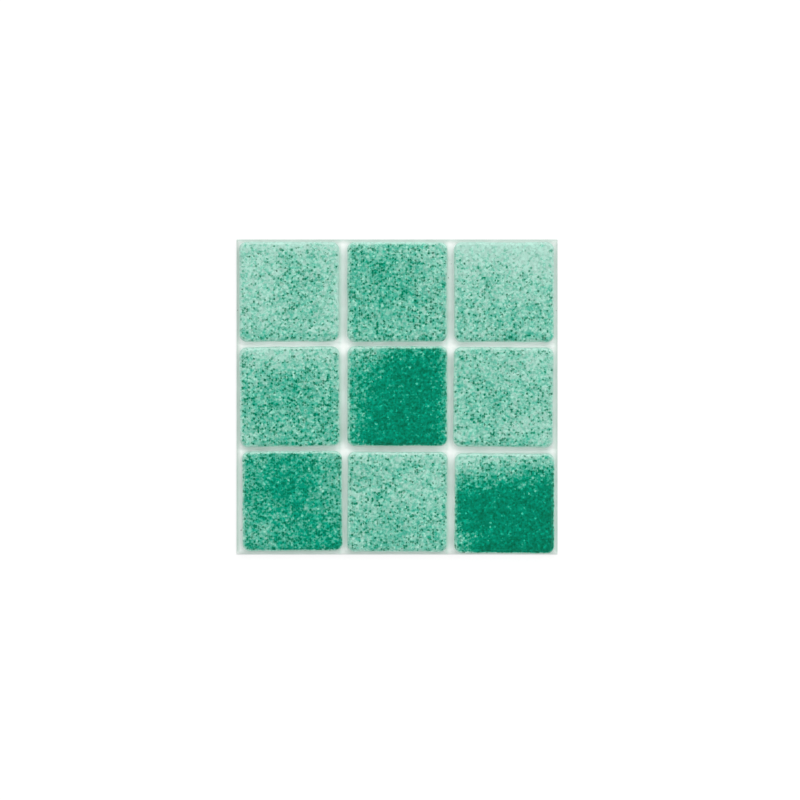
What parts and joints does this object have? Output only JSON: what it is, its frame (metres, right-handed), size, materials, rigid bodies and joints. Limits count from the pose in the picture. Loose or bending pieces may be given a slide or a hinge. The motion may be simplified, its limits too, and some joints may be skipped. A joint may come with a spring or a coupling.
{
  "type": "mosaic tile sheet",
  "caption": "Square sheet of pressed glass mosaic: speckled sea-green tiles with rolled edges, white joints and a fibre mesh on the back.",
  "frame": {"origin": "middle of the bedding side, on the crossing of the two middle strands of the backing mesh", "axes": "+X to the right along a row of tiles, +Y up the sheet towards row 1, +Z out of the glass faces"},
  "size_m": [0.0804, 0.079, 0.0044],
  "materials": {
    "pale_speckled_glass": "fire-polished, pale mint with fine darker specks",
    "mid_speckled_glass": "fire-polished, densely speckled sea green",
    "deep_speckled_glass": "fire-polished, almost solid deep green with pale specks",
    "white_joint_filler": "matt, smooth, slightly hollow",
    "glass_fibre_mesh": "woven glass yarn, sized white"
  },
  "bodies": {
    "root": {"glass_tile_r1_c1": "pale_speckled_glass", "glass_tile_r1_c2": "mid_speckled_glass", "glass_tile_r1_c3": "pale_speckled_glass", "glass_tile_r2_c1": "mid_speckled_glass", "glass_tile_r2_c2": "deep_speckled_glass", "glass_tile_r2_c3": "pale_speckled_glass", "glass_tile_r3_c1": "deep_speckled_glass", "glass_tile_r3_c2": "pale_speckled_glass", "glass_tile_r3_c3": "deep_speckled_glass", "joint_filler": "white_joint_filler", "backing_mesh": "glass_fibre_mesh"}
  },
  "joints": []
}
